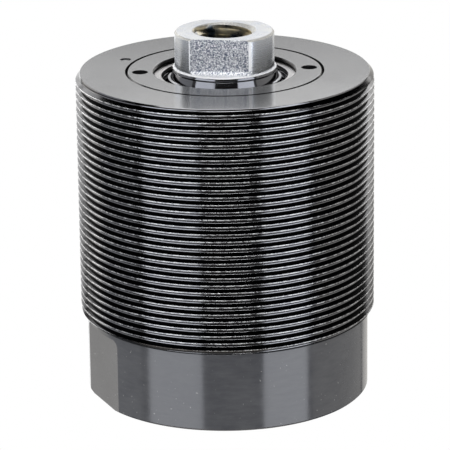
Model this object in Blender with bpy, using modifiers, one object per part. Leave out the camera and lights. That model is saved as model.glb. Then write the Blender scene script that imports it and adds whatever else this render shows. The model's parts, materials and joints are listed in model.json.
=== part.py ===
"""Threaded-body hydraulic support cylinder, built as separate named pieces.

The outside is a threaded barrel with a round base, two spanner flats on the base, a gland nut flush
with the top face and a plunger whose head has two spanner flats and a tapped hole. Inside, oil from
the port in the base lifts the hollow plunger against a return spring. Rising pressure then lifts an
annular piston, which drives a taper sleeve over a slotted collet, so that the collet grips the plunger.

Units are metres, +Z is up, and the origin is the centre of the base face.
"""
import math

import bmesh
import bpy
from mathutils import Matrix, Vector

# Clearances
GAP = 0.0003  # between pieces that seat in or slide on each other

# Barrel
THREAD_D = 0.060  # major diameter of the outside thread, M60 x 1.5
THREAD_PITCH = 0.0015
THREAD_DEPTH = 0.00092
CREST_DROP = 0.001094  # from the top face to the first crest, on the -Y side
THREAD_H = 0.04995  # from the top face down to the end of the thread
THREAD_TOP_CHAMFER_R = 0.00095
THREAD_TOP_CHAMFER_Z = 0.0010
THREAD_END_CHAMFER_R = 0.00045
THREAD_END_CHAMFER_Z = 0.00095
BASE_H = 0.01625  # plain base below the thread
BASE_STEP = 0.0013  # the base is smaller than the thread by this, on the radius
RELIEF_W = 0.0003  # undercut between the thread and the base
RELIEF_DEPTH = 0.0004
BASE_TOP_CHAMFER = 0.0001
BASE_BOTTOM_CHAMFER = 0.0004

# Spanner flats on the base
FLAT_DEPTH = 0.00095
FLAT_TURN = math.radians(24.5)
FLAT_TOP_LAND = 0.00085  # round land left above the flats
FLAT_CORNER_R = 0.0016

# Plunger
PLUNGER_D = 0.020
STROKE = 0.010
PLUNGER_WALL = 0.0037
PLUNGER_WEB = 0.0067  # solid between the spring bore and the head's socket
PLUNGER_EDGE = 0.0004
SOCKET_WALL = 0.0020  # wall round the socket that takes the head's spigot

# Plunger head
HEAD_H = 0.0078  # from the underside of its rim to its top
HEAD_RISE = 0.0004  # from the body's top face up to the underside of the rim
HEAD_EDGE = 0.0004
HEAD_FLATS = 0.016  # across flats
HEAD_FLATS_TURN = math.radians(-7.2)
HEAD_FILLET = 0.0008
RIM_OVERHANG = 0.0004
RIM_H = 0.0005
TAP_D = 0.0102  # minor diameter of the M12 hole
TAP_DEPTH = 0.0130
TAP_MOUTH_D = 0.0128
DRILL_POINT = math.radians(31)  # slope of the cone that a drill leaves
SPIGOT_FLOOR = 0.0014  # solid left under the point of the tapped hole

# Gland nut and wiper
GLAND_H = 0.0100
GLAND_WALL = 0.00538  # from its pocket to its outside thread
GLAND_EDGE = 0.0002  # at its pocket
GLAND_CHAMFER = 0.0003  # at its outside thread
POCKET_DEPTH = 0.0048
WIPER_WALL = 0.0011
WIPER_FLANGE_H = 0.0012
WIPER_DROP = 0.0013  # its shoulder lies this far below the gland's top face
WIPER_TIP = 0.0001  # width of its tip, which rises to the head's rim
WIPER_LEAN = math.radians(20)  # of the cone below its tip
MOAT = 0.0013  # open ring between the wiper's lip and the spacer
RING_SHOWN = 0.00156  # width of the snap ring that shows inside the pocket
SNAP_RING_T = 0.0008
SNAP_RING_DROP = 0.0009
SNAP_RING_BITE = 0.0005  # how far it reaches into its groove
SPLIT = 0.0022  # opening in each snap ring
SPANNER_HOLE_D = 0.0032
SPANNER_HOLE_DEPTH = 0.0030
SPANNER_PCD = 0.0340
SPANNER_TURN = math.radians(3.7)

# Clamping parts
O_RING = 0.0019  # cross-section of the moving seals
SHOULDER = 0.00244  # ledge that the gland nut seats on
PISTON_H = 0.0083
CLAMP_STROKE = 0.0008
COLLET_WALL = 0.0017  # at its thin end
COLLET_TAPER = math.radians(7)
COLLET_SLOTS = 8
COLLET_SLOT_W = 0.0012
COLLET_SLOT_BRIDGE = 0.0022  # uncut length at the end of each slot
DISC_SPRING_T = 0.0005
DISC_SPRING_RISE = 0.0006
DISC_SPRING_PLAY = 0.0006  # between the disc springs and the collet

# Lower guide, stem and return spring
GUIDE_H = 0.0074
GUIDE_WALL = 0.0039
GUIDE_GROOVES = 3
GUIDE_GROOVE_W = 0.0020
GUIDE_GROOVE_DEPTH = 0.0010
CHAMBER_MARGIN = 0.0025  # oil space round the plunger
STOP_RING_T = 0.0012
STOP_RING_LIFT = 0.0012  # from the plunger's foot
STOP_RING_BITE = 0.0011
STEM_D = 0.0064
STEM_BORE_D = 0.0030
STEM_THREAD_D = 0.0100
STEM_THREAD_L = 0.0047
STEM_FLANGE_H = 0.0017
STEM_HEAD_H = 0.0030
STEM_KEY = 0.0050  # across flats of the hexagon socket
STEM_KEY_DEPTH = 0.0018
STEM_PLAY = 0.0005  # between its head or flange and the spring bore
STEM_HEADROOM = 0.0009  # from its head to the cone of the spring bore
SEAT_RING_T = 0.0012
SEAT_SNAP_RING_T = 0.0008
SEAT_SNAP_RING_W = 0.0016
SPRING_WIRE = 0.0012
SPRING_TURNS = 8
SPRING_POINTS = 12  # points in each turn

# Ports in the base
PORT_D = 0.0080
PORT_DEPTH = 0.0060
FILTER_T = 0.0010
FACE_SEAL = 0.0012  # cross-section of the O-ring in the base face
FACE_SEAL_R = 0.0072
FACE_SEAL_INSET = 0.00015
GALLERY_WALL = 0.00096  # between the gland's bore and the vent drilling
GALLERY_TURN = math.radians(156)
GALLERY_D = 0.0022
GALLERY_PLUG_H = 0.0040
GALLERY_PLUG_DROP = 0.0002
CROSS_VENT_D = 0.0016
BREATHER_D = 0.0052
BREATHER_DEPTH = 0.0030
BREATHER_DROP = 0.0004

# Facets
ROUND = 48
THREAD_ROUND = 28  # as the others, a multiple of 4, so that the box stays THREAD_D wide both ways
MIDDLE_ROUND = 28
SMALL_ROUND = 24
SEAL_ROUND = 20
TINY_ROUND = 16
SEAL_SIDES = 8
CUT = 0.001  # how far a cutter runs past the surface it opens
NEAR = 0.000005  # points this close to a level count as on it

# Radii that follow from the sizes above
thread_r = THREAD_D / 2
base_r = thread_r - BASE_STEP
relief_r = base_r - RELIEF_DEPTH
flat_r = base_r - FLAT_DEPTH
plunger_r = PLUNGER_D / 2
running_r = plunger_r + GAP
spring_bore_r = plunger_r - PLUNGER_WALL
socket_r = plunger_r - SOCKET_WALL
lip_r = running_r + WIPER_WALL
ring_in_r = lip_r + MOAT
pocket_r = ring_in_r + RING_SHOWN
snap_groove_r = pocket_r + SNAP_RING_BITE + GAP
gland_r = pocket_r + GLAND_WALL
gland_bore_r = gland_r + GAP
cylinder_r = gland_bore_r - SHOULDER
piston_r = cylinder_r - GAP
chamber_r = plunger_r + CHAMBER_MARGIN
guide_r = running_r + GUIDE_WALL
stem_r = STEM_D / 2
stem_fit_r = spring_bore_r - STEM_PLAY
gallery_r = gland_bore_r + GALLERY_WALL + GALLERY_D / 2

# Heights that follow from the sizes above
thread_end = BASE_H + RELIEF_W
body_h = thread_end + THREAD_H
stem_seat_z = PORT_DEPTH + GAP + FILTER_T + GAP
floor_z = stem_seat_z + STEM_THREAD_L - GAP
foot_z = floor_z + GAP
stop_ring_z = foot_z + STOP_RING_LIFT
guide_seat_z = stop_ring_z + STOP_RING_T + STROKE
guide_z = guide_seat_z + GAP
cylinder_z = guide_z + GUIDE_H + GAP
piston_z = cylinder_z + GAP
piston_top = piston_z + PISTON_H
sleeve_z = piston_top + GAP
collet_z = piston_top + CLAMP_STROKE + GAP
gland_z = body_h - GLAND_H
gland_seat_z = gland_z - GAP
collet_top = gland_z - GAP
disc_stack_h = 2 * (DISC_SPRING_T + DISC_SPRING_RISE) + GAP
disc_z = collet_top - disc_stack_h
sleeve_top = disc_z - GAP
pocket_z = body_h - POCKET_DEPTH
flange_z = pocket_z + GAP
spacer_z = flange_z + WIPER_FLANGE_H + GAP
snap_ring_z = body_h - SNAP_RING_DROP - SNAP_RING_T
spacer_top = snap_ring_z - GAP
rim_z = body_h + HEAD_RISE
head_top = rim_z + HEAD_H
tube_top = rim_z - GAP
hole_z = head_top - TAP_DEPTH
hole_point_z = hole_z - TAP_D / 2 * math.tan(DRILL_POINT)
spigot_z = hole_point_z - SPIGOT_FLOOR
socket_z = spigot_z - GAP
web_z = socket_z - PLUNGER_WEB
cone_z = web_z - spring_bore_r * math.tan(DRILL_POINT)
flange_top = foot_z + STEM_FLANGE_H
seat_snap_z = flange_top + GAP
seat_z = seat_snap_z + SEAT_SNAP_RING_T + GAP
spring_z = seat_z + SEAT_RING_T + GAP
stem_top = cone_z - STEM_HEADROOM
stem_head_z = stem_top - STEM_HEAD_H
spring_top = stem_head_z - GAP
groove_w = O_RING + 2 * GAP

BLACK_STEEL = ("black_steel", (0.035, 0.036, 0.040), 0.32, 1.0)
GROUND_STEEL = ("ground_steel", (0.72, 0.73, 0.76), 0.12, 1.0)
ZINC_STEEL = ("zinc_steel", (0.62, 0.66, 0.72), 0.28, 1.0)
SPRING_STEEL = ("spring_steel", (0.38, 0.37, 0.36), 0.35, 1.0)
BRONZE = ("bronze", (0.55, 0.36, 0.16), 0.35, 1.0)
SINTERED = ("sintered_bronze", (0.46, 0.32, 0.18), 0.75, 1.0)
RUBBER = ("seal_rubber", (0.02, 0.02, 0.02), 0.60, 0.0)


def clear_scene():
    """Removes whatever the open file holds."""
    for old in list(bpy.data.objects):
        bpy.data.objects.remove(old, do_unlink=True)


def new_collection(name):
    """A collection linked into the scene."""
    collection = bpy.data.collections.new(name)
    bpy.context.scene.collection.children.link(collection)
    return collection


def material(look):
    """A Principled BSDF with a colour, a roughness and a metallic value."""
    name, colour, roughness, metallic = look
    found = bpy.data.materials.get(name)
    if found:
        return found
    made = bpy.data.materials.new(name)
    made.use_nodes = True
    shader = made.node_tree.nodes["Principled BSDF"]
    shader.inputs["Base Color"].default_value = (*colour, 1.0)
    shader.inputs["Roughness"].default_value = roughness
    shader.inputs["Metallic"].default_value = metallic
    made.diffuse_color = (*colour, 1.0)
    return made


def add_part(name, mesh, look):
    """Puts a mesh in the part's collection under its node name."""
    part = bpy.data.objects.new(name, mesh)
    part.data.materials.append(material(look))
    parts.objects.link(part)
    return part


def turned(name, profile, look, segments=SMALL_ROUND):
    """A turned piece. The profile lists (radius, z) down the outside and back up the inside.

    It is a closed loop, unless it starts and ends on the axis.
    """
    solid_core = profile[0][0] == 0 and profile[-1][0] == 0
    count = len(profile)
    edges = [(i, i + 1) for i in range(count - 1)]
    if not solid_core:
        edges.append((count - 1, 0))
    mesh = bpy.data.meshes.new(name)
    mesh.from_pydata([(radius, 0, z) for radius, z in profile], edges, [])
    part = add_part(name, mesh, look)
    screw = part.modifiers.new("turning", "SCREW")
    screw.axis = "Z"
    screw.angle = math.tau
    screw.steps = segments
    screw.render_steps = segments
    screw.use_merge_vertices = True
    screw.merge_threshold = 0.00001
    screw.use_smooth_shade = True
    return part


def add_cutter(name, mesh, target):
    """Takes a mesh away from a part."""
    cutter = bpy.data.objects.new(name, mesh)
    cutter.display_type = "WIRE"
    cutter.hide_render = True
    cutters.objects.link(cutter)
    cut = target.modifiers.new(name, "BOOLEAN")
    cut.operation = "DIFFERENCE"
    cut.solver = "EXACT"
    cut.object = cutter


def mesh_from(name, build):
    """Runs build on an empty bmesh and keeps the result."""
    shape = bmesh.new()
    build(shape)
    mesh = bpy.data.meshes.new(name)
    shape.to_mesh(mesh)
    shape.free()
    return mesh


def add_rod(shape, radius, start, end, sides=TINY_ROUND, turn=0.0):
    """A closed cylinder between two points."""
    start, end = Vector(start), Vector(end)
    axis = end - start
    place = Matrix.Translation((start + end) / 2) @ axis.to_track_quat("Z", "Y").to_matrix().to_4x4()
    bmesh.ops.create_cone(
        shape, cap_ends=True, segments=sides, radius1=radius, radius2=radius, depth=axis.length,
        matrix=place @ Matrix.Rotation(turn, 4, "Z"),
    )


def add_block(shape, low, high, turn):
    """A box between two corners, turned about the Z axis. Returns its edges."""
    low, high = Vector(low), Vector(high)
    size = high - low
    place = Matrix.Rotation(turn, 4, "Z") @ Matrix.Translation((low + high) / 2)
    made = bmesh.ops.create_cube(shape, size=1, matrix=place @ Matrix.Diagonal((*size, 1)))
    return list({edge for vert in made["verts"] for edge in vert.link_edges})


def polar(radius, turn, z):
    """A point by its radius and turn about the Z axis."""
    return Vector((radius * math.cos(turn), radius * math.sin(turn), z))


def o_ring(name, middle_r, middle_z, size):
    """A rubber ring with a round cross-section."""
    step = math.tau / SEAL_SIDES
    profile = [
        (middle_r + size / 2 * math.cos(i * step), middle_z - size / 2 * math.sin(i * step))
        for i in range(SEAL_SIDES)
    ]
    return turned(name, profile, RUBBER, SEAL_ROUND)


def plate_ring(name, inner_r, outer_r, low_z, high_z, look):
    """A flat washer."""
    profile = [(outer_r, high_z), (outer_r, low_z), (inner_r, low_z), (inner_r, high_z)]
    return turned(name, profile, look)


def split_ring(name, inner_r, outer_r, low_z, high_z, turn):
    """A snap ring: a flat ring with an opening that lets it spring into its groove."""
    ring = plate_ring(name, inner_r, outer_r, low_z, high_z, SPRING_STEEL)

    def opening(shape):
        low = (inner_r - CUT, -SPLIT / 2, low_z - CUT)
        high = (outer_r + CUT, SPLIT / 2, high_z + CUT)
        add_block(shape, low, high, turn)

    add_cutter(name + "_opening", mesh_from(name + "_opening", opening), ring)
    return ring


def add_rings(shape, profile, columns):
    """Faces about the axis through (radius, z) points, open at both ends."""
    rings = [
        [shape.verts.new(polar(radius, math.tau * j / columns, z)) for j in range(columns)]
        for radius, z in profile
    ]
    for low, high in zip(rings, rings[1:]):
        for j in range(columns):
            k = (j + 1) % columns
            shape.faces.new((low[j], low[k], high[k], high[j]))


def close_level(shape, z):
    """Fills the flat ring between the open edges at a height."""
    rims = [
        edge for edge in shape.edges
        if edge.is_boundary and all(abs(vert.co.z - z) < NEAR / 10 for vert in edge.verts)
    ]
    bmesh.ops.triangle_fill(shape, edges=rims, use_beauty=True, normal=(0, 0, 1))


def add_thread(shape):
    """The outside thread: one right-handed helix of V grooves, chamfered and cut level at both ends."""
    first_crest = body_h - CREST_DROP + THREAD_PITCH / 4
    turns = math.ceil(THREAD_H / THREAD_PITCH) + 3

    def trimmed(radius, z):
        top = (body_h - z) * THREAD_TOP_CHAMFER_R / THREAD_TOP_CHAMFER_Z - THREAD_TOP_CHAMFER_R
        end = (z - thread_end) * THREAD_END_CHAMFER_R / THREAD_END_CHAMFER_Z - THREAD_END_CHAMFER_R
        return min(radius, thread_r + top, max(thread_r + end, relief_r))

    rows = []
    for turn in range(2 - turns, 3):
        for radius, rise in ((thread_r - THREAD_DEPTH, -0.5), (thread_r, 0)):
            row = []
            for j in range(THREAD_ROUND):
                z = first_crest + THREAD_PITCH * (turn + rise + j / THREAD_ROUND)
                row.append(shape.verts.new(polar(trimmed(radius, z), math.tau * j / THREAD_ROUND, z)))
            rows.append(row)
    for i in range(len(rows) - 3):
        for j in range(THREAD_ROUND):
            right, upper = rows[i][(j + 1) % THREAD_ROUND], rows[i + 1][(j + 1) % THREAD_ROUND]
            if j + 1 == THREAD_ROUND:
                right, upper = rows[i + 2][0], rows[i + 3][0]
            shape.faces.new((rows[i][j], right, upper, rows[i + 1][j]))
    for z, side in ((body_h, 1), (thread_end, -1)):
        bmesh.ops.bisect_plane(
            shape, geom=shape.verts[:] + shape.edges[:] + shape.faces[:], dist=NEAR,
            plane_co=(0, 0, z), plane_no=(0, 0, side), use_snap_center=True, clear_outer=True,
        )


def make_body():
    """The barrel: thread, base and the stepped bore that the working parts sit in."""
    seal_half = FACE_SEAL / 2 + GAP
    seal_depth = FACE_SEAL_INSET + FACE_SEAL + GAP
    stem_bore = STEM_THREAD_D / 2 + GAP
    outside = [
        (relief_r, thread_end),
        (relief_r, BASE_H),
        (base_r - BASE_TOP_CHAMFER, BASE_H),
        (base_r, BASE_H - BASE_TOP_CHAMFER),
        (base_r, BASE_BOTTOM_CHAMFER),
        (base_r - BASE_BOTTOM_CHAMFER, 0),
    ]
    inside = [
        (FACE_SEAL_R + seal_half, 0),
        (FACE_SEAL_R + seal_half, seal_depth),
        (FACE_SEAL_R - seal_half, seal_depth),
        (FACE_SEAL_R - seal_half, 0),
        (PORT_D / 2, 0),
        (PORT_D / 2, PORT_DEPTH),
        (stem_bore, PORT_DEPTH),
        (stem_bore, floor_z),
        (chamber_r, floor_z),
        (chamber_r, guide_seat_z),
        (guide_r + GAP, guide_seat_z),
        (guide_r + GAP, cylinder_z),
        (cylinder_r, cylinder_z),
        (cylinder_r, gland_seat_z),
        (gland_bore_r, gland_seat_z),
        (gland_bore_r, body_h),
    ]

    def barrel(shape):
        add_thread(shape)
        add_rings(shape, outside, ROUND)
        add_rings(shape, inside, MIDDLE_ROUND)
        for z in (body_h, thread_end, 0):
            close_level(shape, z)
        bmesh.ops.recalc_face_normals(shape, faces=shape.faces)

    body = add_part("threaded_body", mesh_from("threaded_body", barrel), BLACK_STEEL)
    cut_base_flats(body)
    cut_vent(body)
    return body


def cut_base_flats(body):
    """Two parallel spanner flats, each milled up from the base face with round top corners."""
    reach = math.sqrt(base_r**2 - flat_r**2)
    top = BASE_H - FLAT_TOP_LAND

    def flats(shape):
        for turn in (FLAT_TURN, FLAT_TURN + math.pi):
            low = (flat_r, -reach, -CUT)
            high = (base_r + CUT, reach, top)
            edges = add_block(shape, low, high, turn)
            outward = polar(1, turn, 0)
            corners = [
                edge for edge in edges
                if all(vert.co.z > top - GAP for vert in edge.verts)
                and abs((edge.verts[0].co - edge.verts[1].co).normalized().dot(outward)) > 0.9
            ]
            bmesh.ops.bevel(
                shape, geom=corners, offset=FLAT_CORNER_R, segments=5, profile=0.5, affect="EDGES",
            )

    add_cutter("base_flats", mesh_from("base_flats", flats), body)


def cut_vent(body):
    """The vent: a drilling from top to base, a cross drilling from the bore and a breather pocket."""
    cross_z = (disc_z + collet_top) / 2

    def gallery(shape):
        foot = polar(gallery_r, GALLERY_TURN, BREATHER_DEPTH - CUT / 2)
        add_rod(shape, GALLERY_D / 2, foot, polar(gallery_r, GALLERY_TURN, body_h + CUT))

    def cross(shape):
        start = polar(cylinder_r - CUT, GALLERY_TURN, cross_z)
        add_rod(shape, CROSS_VENT_D / 2, start, polar(gallery_r, GALLERY_TURN, cross_z), 12)

    def breather(shape):
        start = polar(gallery_r, GALLERY_TURN, -CUT)
        add_rod(shape, BREATHER_D / 2, start, polar(gallery_r, GALLERY_TURN, BREATHER_DEPTH))

    for name, build in (("vent_gallery", gallery), ("vent_cross", cross), ("breather_pocket", breather)):
        add_cutter(name, mesh_from(name, build), body)


def make_vent_fittings():
    """The plug that closes the vent drilling at the top face, and the filter at its foot."""

    def plug(shape):
        top = body_h - GALLERY_PLUG_DROP
        start = polar(gallery_r, GALLERY_TURN, top - GALLERY_PLUG_H)
        add_rod(shape, GALLERY_D / 2 - GAP, start, polar(gallery_r, GALLERY_TURN, top))

    def breather(shape):
        start = polar(gallery_r, GALLERY_TURN, BREATHER_DROP)
        end = polar(gallery_r, GALLERY_TURN, BREATHER_DEPTH - GAP)
        add_rod(shape, BREATHER_D / 2 - GAP, start, end)

    add_part("gallery_plug", mesh_from("gallery_plug", plug), BLACK_STEEL)
    add_part("breather_filter", mesh_from("breather_filter", breather), SINTERED)


def make_port_fittings():
    """The O-ring in the base face and the filter disc above the oil port."""
    seal_z = FACE_SEAL_INSET + FACE_SEAL / 2
    o_ring("base_o_ring", FACE_SEAL_R, seal_z, FACE_SEAL)
    low = PORT_DEPTH + GAP
    disc = [(0, low + FILTER_T), (STEM_THREAD_D / 2, low + FILTER_T), (STEM_THREAD_D / 2, low), (0, low)]
    turned("inlet_filter", disc, SINTERED, TINY_ROUND)


def make_gland_nut():
    """The threaded ring that closes the barrel and holds the wiper."""
    seal_z = (gland_z + pocket_z) / 2
    inner_floor = plunger_r + GAP + O_RING + GAP
    outer_floor = gland_bore_r - GAP - O_RING - GAP
    groove_low, groove_high = seal_z - groove_w / 2, seal_z + groove_w / 2
    profile = [
        (gland_r - GLAND_CHAMFER, body_h),
        (gland_r, body_h - GLAND_CHAMFER),
        (gland_r, groove_high),
        (outer_floor, groove_high),
        (outer_floor, groove_low),
        (gland_r, groove_low),
        (gland_r, gland_z),
        (running_r, gland_z),
        (running_r, groove_low),
        (inner_floor, groove_low),
        (inner_floor, groove_high),
        (running_r, groove_high),
        (running_r, pocket_z),
        (pocket_r, pocket_z),
        (pocket_r, snap_ring_z - GAP),
        (snap_groove_r, snap_ring_z - GAP),
        (snap_groove_r, snap_ring_z + SNAP_RING_T + GAP),
        (pocket_r, snap_ring_z + SNAP_RING_T + GAP),
        (pocket_r, body_h - GLAND_EDGE),
        (pocket_r + GLAND_EDGE, body_h),
    ]
    gland = turned("gland_nut", profile, BLACK_STEEL, MIDDLE_ROUND)

    def holes(shape):
        for turn in (SPANNER_TURN, SPANNER_TURN + math.pi):
            foot = polar(SPANNER_PCD / 2, turn, body_h - SPANNER_HOLE_DEPTH)
            add_rod(shape, SPANNER_HOLE_D / 2, foot, polar(SPANNER_PCD / 2, turn, body_h + CUT))

    add_cutter("spanner_holes", mesh_from("spanner_holes", holes), gland)
    o_ring("gland_o_ring", gland_bore_r - GAP - O_RING / 2, seal_z, O_RING)
    o_ring("plunger_seal", running_r + O_RING / 2, seal_z, O_RING)


def make_wiper():
    """The metal wiper with its cone and flange, the spacer above it and the snap ring that holds both."""
    fit_r = pocket_r - GAP
    shoulder_z = body_h - WIPER_DROP
    tip_z = rim_z - GAP
    tip_r = running_r + WIPER_TIP
    profile = [
        (running_r, tip_z),
        (tip_r, tip_z),
        (tip_r + (tip_z - shoulder_z) * math.tan(WIPER_LEAN), shoulder_z),
        (lip_r, shoulder_z),
        (lip_r, flange_z + WIPER_FLANGE_H),
        (fit_r, flange_z + WIPER_FLANGE_H),
        (fit_r, flange_z),
        (running_r, flange_z),
    ]
    turned("metal_wiper", profile, GROUND_STEEL)
    plate_ring("wiper_spacer", ring_in_r, fit_r, spacer_z, spacer_top, GROUND_STEEL)
    split_ring(
        "wiper_snap_ring", ring_in_r, pocket_r + SNAP_RING_BITE, snap_ring_z,
        snap_ring_z + SNAP_RING_T, math.radians(95),
    )


def collet_r(z):
    """The collet's outside radius at a height on its taper."""
    return running_r + COLLET_WALL + (z - collet_z) * math.tan(COLLET_TAPER)


def make_collet():
    """The slotted sleeve that grips the plunger. Its slots start from both ends in turn."""
    profile = [
        (collet_r(collet_top), collet_top),
        (collet_r(collet_z), collet_z),
        (running_r, collet_z),
        (running_r, collet_top),
    ]
    collet = turned("collet", profile, BRONZE)

    def slots(shape):
        for i in range(COLLET_SLOTS):
            low_z, high_z = collet_z - CUT, collet_top - COLLET_SLOT_BRIDGE
            if i % 2:
                low_z, high_z = collet_z + COLLET_SLOT_BRIDGE, collet_top + CUT
            low = (running_r - CUT, -COLLET_SLOT_W / 2, low_z)
            high = (collet_r(collet_top) + CUT, COLLET_SLOT_W / 2, high_z)
            add_block(shape, low, high, (i + 0.5) * math.tau / COLLET_SLOTS)

    add_cutter("collet_slots", mesh_from("collet_slots", slots), collet)
    sleeve = [
        (piston_r, sleeve_top),
        (piston_r, sleeve_z),
        (collet_r(sleeve_z) + GAP, sleeve_z),
        (collet_r(sleeve_top) + GAP, sleeve_top),
    ]
    turned("taper_sleeve", sleeve, GROUND_STEEL)


def make_clamp_piston():
    """The annular piston with a seal in its outside and one in its bore."""
    seal_z = piston_z + PISTON_H / 2
    low, high = seal_z - groove_w / 2, seal_z + groove_w / 2
    outer_floor = cylinder_r - GAP - O_RING - GAP
    inner_floor = running_r + O_RING + GAP
    profile = [
        (piston_r, piston_top),
        (piston_r, high),
        (outer_floor, high),
        (outer_floor, low),
        (piston_r, low),
        (piston_r, piston_z),
        (running_r, piston_z),
        (running_r, low),
        (inner_floor, low),
        (inner_floor, high),
        (running_r, high),
        (running_r, piston_top),
    ]
    turned("clamp_piston", profile, GROUND_STEEL)
    o_ring("piston_outer_seal", piston_r - O_RING / 2, seal_z, O_RING)
    o_ring("piston_inner_seal", running_r + O_RING / 2, seal_z, O_RING)


def make_disc_springs():
    """Two disc springs, back to back, that push the taper sleeve down again."""
    outer, inner = piston_r, collet_r(collet_top) + DISC_SPRING_PLAY
    lower = [
        (outer, disc_z + DISC_SPRING_T),
        (outer, disc_z),
        (inner, disc_z + DISC_SPRING_RISE),
        (inner, disc_z + DISC_SPRING_RISE + DISC_SPRING_T),
    ]
    upper = [(radius, disc_z + collet_top - z) for radius, z in reversed(lower)]
    turned("disc_spring_lower", lower, SPRING_STEEL)
    turned("disc_spring_upper", upper[2:] + upper[:2], SPRING_STEEL)


def make_lower_guide():
    """The bush that guides the plunger's foot, with oil grooves down its outside."""
    profile = [
        (guide_r, guide_z + GUIDE_H),
        (guide_r, guide_z),
        (running_r, guide_z),
        (running_r, guide_z + GUIDE_H),
    ]
    guide = turned("lower_guide_bush", profile, BRONZE)

    def grooves(shape):
        for i in range(GUIDE_GROOVES):
            low = (guide_r - GUIDE_GROOVE_DEPTH, -GUIDE_GROOVE_W / 2, guide_z - CUT)
            high = (guide_r + CUT, GUIDE_GROOVE_W / 2, guide_z + GUIDE_H + CUT)
            add_block(shape, low, high, i * math.tau / GUIDE_GROOVES)

    add_cutter("guide_grooves", mesh_from("guide_grooves", grooves), guide)


def make_plunger():
    """The ground tube: spring bore from below, socket for the head from above, stop ring at its foot."""
    stop_floor = plunger_r - STOP_RING_BITE - GAP
    seat_groove_r = spring_bore_r + SEAT_SNAP_RING_W / 2 - GAP
    profile = [
        (0, socket_z),
        (socket_r, socket_z),
        (socket_r, tube_top),
        (plunger_r - PLUNGER_EDGE / 2, tube_top),
        (plunger_r, tube_top - PLUNGER_EDGE / 2),
        (plunger_r, stop_ring_z + STOP_RING_T + GAP),
        (stop_floor, stop_ring_z + STOP_RING_T + GAP),
        (stop_floor, stop_ring_z - GAP),
        (plunger_r, stop_ring_z - GAP),
        (plunger_r, foot_z + PLUNGER_EDGE),
        (plunger_r - PLUNGER_EDGE, foot_z),
        (spring_bore_r, foot_z),
        (spring_bore_r, seat_snap_z - GAP),
        (seat_groove_r, seat_snap_z - GAP),
        (seat_groove_r, seat_snap_z + SEAT_SNAP_RING_T + GAP),
        (spring_bore_r, seat_snap_z + SEAT_SNAP_RING_T + GAP),
        (spring_bore_r, cone_z),
        (0, web_z),
    ]
    turned("plunger_tube", profile, GROUND_STEEL, MIDDLE_ROUND)
    split_ring(
        "plunger_stop_ring", plunger_r - STOP_RING_BITE, chamber_r - GAP, stop_ring_z,
        stop_ring_z + STOP_RING_T, math.radians(40),
    )


def make_plunger_head():
    """The screwed-in head: spigot, rim, two spanner flats and the tapped hole."""
    tap_r = TAP_D / 2
    mouth_r = TAP_MOUTH_D / 2
    spigot_r = socket_r - GAP
    rim_top = rim_z + RIM_H
    profile = [
        (0, hole_point_z),
        (tap_r, hole_z),
        (tap_r, head_top - (mouth_r - tap_r)),
        (mouth_r, head_top),
        (plunger_r - HEAD_EDGE, head_top),
        (plunger_r, head_top - HEAD_EDGE),
        (plunger_r, rim_top + RIM_OVERHANG / 2),
        (plunger_r + RIM_OVERHANG, rim_top),
        (plunger_r + RIM_OVERHANG, rim_z),
        (spigot_r, rim_z),
        (spigot_r, spigot_z),
        (0, spigot_z),
    ]
    head = turned("plunger_head", profile, ZINC_STEEL, MIDDLE_ROUND)
    bottom = rim_top + RIM_OVERHANG / 2

    def flats(shape):
        half = HEAD_FLATS / 2
        for turn in (HEAD_FLATS_TURN + math.pi / 2, HEAD_FLATS_TURN - math.pi / 2):
            low = (half, -plunger_r - CUT, bottom)
            high = (plunger_r + RIM_OVERHANG + CUT, plunger_r + CUT, head_top + CUT)
            edges = add_block(shape, low, high, turn)
            outward = polar(1, turn, 0)
            inner = [
                edge for edge in edges
                if all(vert.co.z < bottom + GAP and vert.co.dot(outward) < half + GAP for vert in edge.verts)
            ]
            bmesh.ops.bevel(shape, geom=inner, offset=HEAD_FILLET, segments=4, profile=0.5, affect="EDGES")

    add_cutter("head_flats", mesh_from("head_flats", flats), head)


def make_stem():
    """The hollow stem in the floor. Its head holds the top end of the return spring."""
    bore = STEM_BORE_D / 2
    profile = [
        (stem_fit_r, stem_top),
        (stem_fit_r, stem_head_z),
        (stem_r, stem_head_z),
        (stem_r, flange_top),
        (stem_fit_r, flange_top),
        (stem_fit_r, foot_z),
        (STEM_THREAD_D / 2, foot_z),
        (STEM_THREAD_D / 2, stem_seat_z),
        (bore, stem_seat_z),
        (bore, stem_top),
    ]
    stem = turned("guide_stem", profile, ZINC_STEEL)

    def key(shape):
        corner = STEM_KEY / math.sqrt(3)
        add_rod(shape, corner, (0, 0, stem_top - STEM_KEY_DEPTH), (0, 0, stem_top + CUT), 6)

    add_cutter("stem_key", mesh_from("stem_key", key), stem)


def make_spring_seat():
    """The loose ring that the return spring pushes on, and the snap ring that carries it."""
    seat_r = spring_bore_r - GAP
    plate_ring("spring_seat_ring", stem_r + GAP, seat_r, seat_z, seat_z + SEAT_RING_T, ZINC_STEEL)
    outer = spring_bore_r + SEAT_SNAP_RING_W / 2 - 2 * GAP
    split_ring(
        "seat_snap_ring", outer - SEAT_SNAP_RING_W, outer, seat_snap_z,
        seat_snap_z + SEAT_SNAP_RING_T, math.radians(200),
    )


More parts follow.
